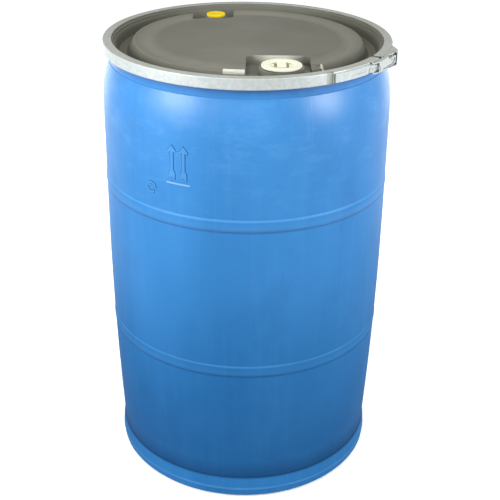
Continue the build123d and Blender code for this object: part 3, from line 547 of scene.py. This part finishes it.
def side_radius(z):
    """Outer radius of the drum's side above its foot."""
    if z < BELLY_Z:
        drop, reach = SIDE_FOOT_INSET, BELLY_Z - SIDE_FOOT_Z
    else:
        drop, reach = BELLY_R - SHOULDER_R, SHOULDER_Z - BELLY_Z
    curve = reach**2 / drop / 2
    return BELLY_R - curve + math.sqrt(curve**2 - (z - BELLY_Z) ** 2)


def on_skin(s, z, bearing, lift=0.0):
    """Point of the drum's side, s along the skin from a bearing, lifted off it."""
    radius = side_radius(z)
    angle = math.radians(bearing) + s / radius
    return Vector(((radius + lift) * math.cos(angle), (radius + lift) * math.sin(angle), z))


MARK_SINK = 0.1 * MM  # how deep a mark's or a painted shade line's foot lies in the surface


def raised(name, outline, bearing, base_z, edge, rise=MARK_RISE):
    """A flat raised form on the skin with sloped edges, from its outline as (s, z) in metres."""
    mesh = bmesh.new()
    face = mesh.faces.new([mesh.verts.new((s, z, 0)) for s, z in outline])
    face.normal_update()
    if face.normal.z < 0:
        face.normal_flip()
    bmesh.ops.inset_region(mesh, faces=[face], thickness=edge, depth=0, use_even_offset=True)
    for vertex in mesh.verts:
        vertex.co.z = -MARK_SINK
    for vertex in face.verts:
        vertex.co.z = rise
    bmesh.ops.triangulate(mesh, faces=mesh.faces[:])
    for vertex in mesh.verts:
        vertex.co = on_skin(vertex.co.x, base_z + vertex.co.y, bearing, vertex.co.z)
    add_piece(name, mesh, blue, "drum_body")


# ================================================================== raised marks on the body
ARROW_HEIGHT = 66.5 * MM
ARROW_HEAD = 9.6 * MM  # half width over the barbs
ARROW_SHAFT = 2.9 * MM  # half width
ARROW_BARB = 14 * MM  # how far down the barbs reach
ARROW_BARB_WIDTH = 5.6 * MM
ARROW_EDGE = 0.7 * MM
FLETCH_HEIGHT = 13 * MM
FLETCH_NECK = 5 * MM
FLETCH_HALF = 6.4 * MM
FLETCH_NOTCH = 4.8 * MM
ARROW_FOOT_Z = 0.7295
ARROW_BEARINGS = (-118.1, -113.3)
BAR_Z = 0.7200
BAR_BEARING = -115.45
BAR_HALF = 24.6 * MM
BAR_HEIGHT = 3.4 * MM
BAR_EDGE = 0.9 * MM
BAR_STEPS = 4  # on each side of its middle, so that it follows the round side

LOOP_BEARING = -127.7
LOOP_Z = 0.7015
LOOP_R = 9.6 * MM
LOOP_WIDTH = 3.6 * MM
LOOP_EDGE = 0.6 * MM
LOOP_STARTS = (5, 185)  # degrees round the loop
LOOP_SWEEP = 105
LOOP_TIP = 38
LOOP_STEPS = 8


def arrow_outline():
    """One arrow, from its foot up, symmetric about s = 0."""
    barb_z = ARROW_HEIGHT - ARROW_BARB
    right = [
        (0, FLETCH_NOTCH),
        (FLETCH_HALF, 0),
        (FLETCH_HALF, FLETCH_HEIGHT),
        (ARROW_SHAFT, FLETCH_HEIGHT + FLETCH_NECK),
        (ARROW_SHAFT, barb_z + 0.45 * ARROW_BARB_WIDTH),
        (ARROW_HEAD - 0.62 * ARROW_BARB_WIDTH, barb_z - 0.25 * ARROW_BARB_WIDTH),
        (ARROW_HEAD, barb_z + 0.4 * ARROW_BARB_WIDTH),
        (0, ARROW_HEIGHT),
    ]
    return right + [(-s, z) for s, z in reversed(right[1:-1])]


def bar_outline():
    """The bar under the arrows."""
    steps = [BAR_HALF * step / BAR_STEPS for step in range(-BAR_STEPS, BAR_STEPS + 1)]
    return [(s, 0) for s in steps] + [(s, BAR_HEIGHT) for s in reversed(steps)]


def loop_outline(start):
    """A curved arrow that goes part of the way round, as (s, z)."""

    def place(radius, angle):
        return radius * math.cos(math.radians(angle)), radius * math.sin(math.radians(angle))

    end = start + LOOP_SWEEP
    turns = [start + LOOP_SWEEP * step / LOOP_STEPS for step in range(LOOP_STEPS + 1)]
    outer = [place(LOOP_R + LOOP_WIDTH / 2, angle) for angle in turns]
    inner = [place(LOOP_R - LOOP_WIDTH / 2, angle) for angle in reversed(turns)]
    head = [place(LOOP_R + LOOP_WIDTH, end), place(LOOP_R, end + LOOP_TIP), place(LOOP_R - LOOP_WIDTH, end)]
    return outer + head + inner


for number, bearing in enumerate(ARROW_BEARINGS):
    raised(f"up_arrow_{number}", arrow_outline(), bearing, ARROW_FOOT_Z, ARROW_EDGE)
raised("up_bar", bar_outline(), BAR_BEARING, BAR_Z, BAR_EDGE, rise=BAR_RISE)
for number, start in enumerate(LOOP_STARTS):
    raised(f"loop_mark_{number}", loop_outline(start), LOOP_BEARING, LOOP_Z, LOOP_EDGE)

# ================================================================== cream strip on the cover's ridge
STRIP_FROM = -101.2
STRIP_TO = -91.2
STRIP_STEPS = 12
STRIP_LIFT = 0.45 * MM
STRIP_SINK = 0.3 * MM
STRIP_TAIL = 5.6 * MM  # how far the strip goes down the ridge's outer slope
RIDGE_EDGE_R = 0.2221  # where the ridge's rounded outer edge leaves its top
RIDGE_TOP_Z = 0.9275
RIDGE_ROUND = 5 * MM
RIDGE_SLOPE = 60.3  # degrees
ROUND_STEPS = 5


def ridge_strip():
    """A thin cream strip wrapped over the ridge's outer edge beside the main pocket."""

    def profile(lift):
        reach = RIDGE_ROUND + lift
        arc = []
        for step in range(ROUND_STEPS + 1):
            turn = math.radians(RIDGE_SLOPE * step / ROUND_STEPS)
            z = RIDGE_TOP_Z - RIDGE_ROUND + reach * math.cos(turn)
            arc.append((RIDGE_EDGE_R + reach * math.sin(turn), z))
        slope = math.radians(RIDGE_SLOPE)
        r, z = arc[-1]
        return arc + [(r + STRIP_TAIL * math.cos(slope), z - STRIP_TAIL * math.sin(slope))]

    section = profile(STRIP_LIFT) + profile(-STRIP_SINK)[::-1]
    mesh = bmesh.new()
    rows = []
    for step in range(STRIP_STEPS + 1):
        angle = math.radians(STRIP_FROM + (STRIP_TO - STRIP_FROM) * step / STRIP_STEPS)
        rows.append([mesh.verts.new((r * math.cos(angle), r * math.sin(angle), z)) for r, z in section])
    join_rows(mesh, zip(rows, rows[1:]))
    cap_ends(mesh, rows)
    bmesh.ops.recalc_face_normals(mesh, faces=mesh.faces[:])
    add_piece("ridge_strip", mesh, cream, "cover")


ridge_strip()

# ================================================================== painted shade lines of the marks and the latch
SHADE_LINE_RISE = 0.3 * MM
# A shade line's section, as shares of its half width and heights over the face that it lies on.
SHADE_LINE_SECTION = ((-1, -MARK_SINK), (-0.8, SHADE_LINE_RISE), (0.8, SHADE_LINE_RISE), (1, -MARK_SINK))


def shade_line(name, points, width, closed, material, body):
    """A thin dark ribbon of painted shade through points that lie on a face."""
    mesh = bmesh.new()
    count = len(points)
    rows = []
    for i, point in enumerate(points):
        before = points[(i - 1) % count] if closed or i else point
        after = points[(i + 1) % count] if closed or i < count - 1 else point
        out = Vector((point.x, point.y, 0)).normalized()
        side = (after - before).cross(out).normalized() * width / 2
        rows.append([mesh.verts.new(point + side * share + out * lift) for share, lift in SHADE_LINE_SECTION])
    join_rows(mesh, zip(rows, rows[1:]))
    if closed:
        join_rows(mesh, [(rows[-1], rows[0])])
    else:
        cap_ends(mesh, rows)
    bmesh.ops.recalc_face_normals(mesh, faces=mesh.faces[:])
    add_piece(name, mesh, material, body)


def mark_line(name, outline, bearing, base_z, width):
    """Painted shade round the foot of a moulded mark."""
    points = [on_skin(s, base_z + z, bearing) for s, z in outline]
    shade_line(name, points, width, True, mark_shade, "drum_body")


def latch_line(name, body, points, width, closed=False):
    """A dark strip of painted shade along a seam, slot or pressed edge of the latch."""
    shade_line(name, points, width, closed, seam_shade, body)


def at(radius, bearing, z):
    """A point from its distance from the drum's axis in mm, its bearing in degrees and its height in mm."""
    angle = math.radians(bearing)
    return Vector((radius * MM * math.cos(angle), radius * MM * math.sin(angle), z * MM))


# Painted shade ribbons round the foot of each mark.
for number, bearing in enumerate(ARROW_BEARINGS):
    mark_line(f"up_arrow_shade_{number}", arrow_outline(), bearing, ARROW_FOOT_Z, 2.2 * MM)
for number, start in enumerate(LOOP_STARTS):
    mark_line(f"loop_mark_shade_{number}", loop_outline(start), LOOP_BEARING, LOOP_Z, 1.8 * MM)

# The small rivet head beside the lever's shoulder. Its circle leans out of the lever's face.
HEAD_AT = (293.3, -38.67, 919.1)
HEAD_R = 2 * MM
HEAD_ACROSS = (-0.53, 0.85)
HEAD_STEPS = 10


def head_ring():
    """Points round the rivet head."""
    points = []
    for step in range(HEAD_STEPS):
        turn = math.tau * step / HEAD_STEPS
        across, up = HEAD_R * math.cos(turn), HEAD_R * math.sin(turn)
        points.append(at(*HEAD_AT) + Vector((HEAD_ACROSS[0] * across, HEAD_ACROSS[1] * across, up)))
    return points


# Painted shade round the rivet head.
latch_line("lever_head_ring", "lever", head_ring(), 0.7 * MM, closed=True)

# Painted shade along the latch's seams and slots.
# Name, body, width in mm, and points as at() takes them.
LATCH_LINES = (
    (
        "lever_shoulder_seam",
        "lever",
        1.3,
        (
            (292.6, -38.0, 927.2),
            (292.2, -39.2, 924.3),
            (291.9, -40.3, 921.2),
            (291.8, -40.5, 917.2),
            (291.8, -40.3, 913.2),
        ),
    ),
    ("lever_slot", "lever", 1.5, ((293.9, -36.5, 921.8), (293.9, -36.45, 915.0))),
    (
        "link_under_seam",
        "link",
        1.3,
        (
            (297.6, -35.0, 912.2),
            (297.0, -30.4, 912.0),
            (297.9, -24.2, 912.0),
            (299.2, -22.2, 913.6),
            (299.4, -21.7, 917.0),
            (299.4, -21.7, 922.0),
        ),
    ),
    ("link_slot", "link", 1.3, ((297.8, -24.3, 923.2), (297.9, -24.1, 917.6))),
)
for name, body, width, places in LATCH_LINES:
    latch_line(name, body, [at(*place) for place in places], width * MM)

# ================================================================== floor, light and camera
WORLD_STRENGTH = 0.05
FLOOR_HALF = 14
FLOOR_WHITE = 0.38  # how white the floor is shown under the drum, where 1 is white
FLOOR_FADE = 3.2  # over how many metres it would gain a whole 1


def floor():
    """A plain pale floor that is shown white, most of all far off, and lights the drum no more for that."""
    shader = Shader("floor", 0.9, specular=0.0)
    colour = shader.ramp(shader.noise(1.5, 2.0), 0.0, 1.0, (0.86, 0.86, 0.86, 1), (0.90, 0.90, 0.90, 1))
    shader.drive("Base Color", colour)
    away = shader.over(shader.axis_distance(), FLOOR_FADE)
    whiteness = shader.least(shader.plus(FLOOR_WHITE, away), 1.0)
    shader.bsdf.inputs["Emission Color"].default_value = (1, 1, 1, 1)
    shader.drive("Emission Strength", shader.times(whiteness, shader.seen()))
    mesh = bmesh.new()
    bmesh.ops.create_grid(mesh, x_segments=1, y_segments=1, size=FLOOR_HALF)
    data = bpy.data.meshes.new("floor")
    mesh.to_mesh(data)
    mesh.free()
    data.materials.append(shader.material)
    plane = bpy.data.objects.new("floor", data)
    bpy.context.scene.collection.objects.link(plane)


def softbox(name, place, aim, width, height, power):
    """A rectangular lamp that faces a point."""
    data = bpy.data.lights.new(name, "AREA")
    data.shape = "RECTANGLE"
    data.size, data.size_y = width, height
    data.energy = power
    light = bpy.data.objects.new(name, data)
    light.location = place
    light.rotation_mode = "QUATERNION"
    light.rotation_quaternion = (Vector(aim) - Vector(place)).to_track_quat("-Z", "Y")
    bpy.context.scene.collection.objects.link(light)


def surroundings(strength):
    """A faint even light, which is shown as white."""
    world = bpy.data.worlds.new("studio")
    world.use_nodes = True
    tree = world.node_tree
    background = tree.nodes["Background"]
    background.inputs["Color"].default_value = (1, 1, 1, 1)
    path = tree.nodes.new("ShaderNodeLightPath").outputs
    level = None
    for ray in ("Is Camera Ray", "Is Glossy Ray", "Is Transmission Ray"):
        choose = tree.nodes.new("ShaderNodeMath")
        choose.operation = "MAXIMUM"
        tree.links.new(path[ray], choose.inputs[0])
        if level is None:
            choose.inputs[1].default_value = strength
        else:
            tree.links.new(level, choose.inputs[1])
        level = choose.outputs[0]
    tree.links.new(level, background.inputs["Strength"])
    bpy.context.scene.world = world


def camera():
    """The photograph's camera, as it was solved from the drum's ellipses and outline."""
    pitch, yaw, roll = (math.radians(angle) for angle in (CAMERA_PITCH, CAMERA_YAW, CAMERA_ROLL))
    forward = Vector(
        (math.sin(yaw) * math.cos(pitch), math.cos(yaw) * math.cos(pitch), -math.sin(pitch))
    )
    right = Vector((math.cos(yaw), -math.sin(yaw), 0))
    up = right.cross(forward)
    across = math.cos(roll) * right + math.sin(roll) * up
    above = -math.sin(roll) * right + math.cos(roll) * up
    data = bpy.data.cameras.new("camera")
    data.sensor_width = SENSOR
    data.lens = SENSOR * FOCAL_PIXELS / FRAME_PIXELS
    view = bpy.data.objects.new("camera", data)
    turn = Matrix((across, above, -forward)).transposed()
    view.matrix_world = Matrix.Translation(CAMERA_AT) @ turn.to_4x4()
    bpy.context.scene.collection.objects.link(view)
    bpy.context.scene.camera = view


# Name, place, the point that it faces, width, height and watts.
SHOULDER = (0, 0, 0.85)
SIDE = (0, 0, 0.56)
SOFTBOXES = (
    ("left", (-0.92, -0.74, 1.16), SHOULDER, 0.50, 0.50, 15),
    ("right", (0.96, -0.62, 1.12), SHOULDER, 0.34, 0.50, 11),
    ("window", (-0.25, -2.0, 1.22), SHOULDER, 1.3, 0.35, 5),
    ("front", (-0.35, -1.9, 2.5), SHOULDER, 1.6, 0.9, 9),
    ("rear_left", (-0.9, 1.9, 0.56), SIDE, 2.0, 0.8, 13),
    ("rear_right", (0.9, 1.9, 0.56), SIDE, 2.0, 0.8, 13),
    ("overhead", (0, 0, 3.0), (0, 0, 0), 2.5, 2.5, 36),
)

floor()
surroundings(WORLD_STRENGTH)
for row in SOFTBOXES:
    softbox(*row)
camera()
bpy.context.scene.view_settings.view_transform = "Standard"
